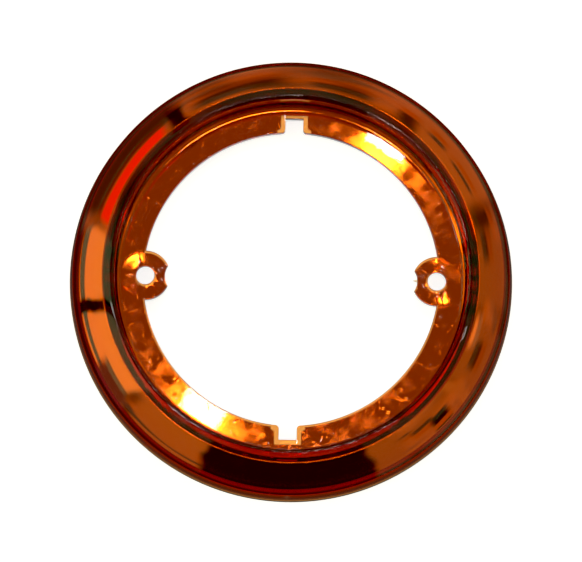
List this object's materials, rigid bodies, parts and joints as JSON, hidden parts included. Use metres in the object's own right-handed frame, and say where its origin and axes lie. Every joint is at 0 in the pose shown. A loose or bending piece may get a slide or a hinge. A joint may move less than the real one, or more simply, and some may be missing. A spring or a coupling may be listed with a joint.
{
  "type": "bezel ring",
  "caption": "Round bezel ring moulded in transparent amber plastic with a mirrored back: domed crown, flared rim, recessed inner flange with screw ears and locating notches.",
  "frame": {"origin": "centre of the ring on the plane that the back edge of its rim rests on", "axes": "+Z out of the ring's front, along its axis; X through the two screw ears, with the gate stub on the +X ear; +Y towards one of the two notches"},
  "size_m": [0.11, 0.11, 0.0155],
  "materials": {
    "amber_plastic": "polished transparent amber moulding, seen against its own mirrored back",
    "mirror_film": "vacuum-metallised aluminium film",
    "back_lacquer": "thin satin grey protective lacquer"
  },
  "bodies": {
    "root": {"amber_ring": "amber_plastic", "mirror_coat": "mirror_film", "back_lacquer": "back_lacquer"}
  },
  "joints": []
}
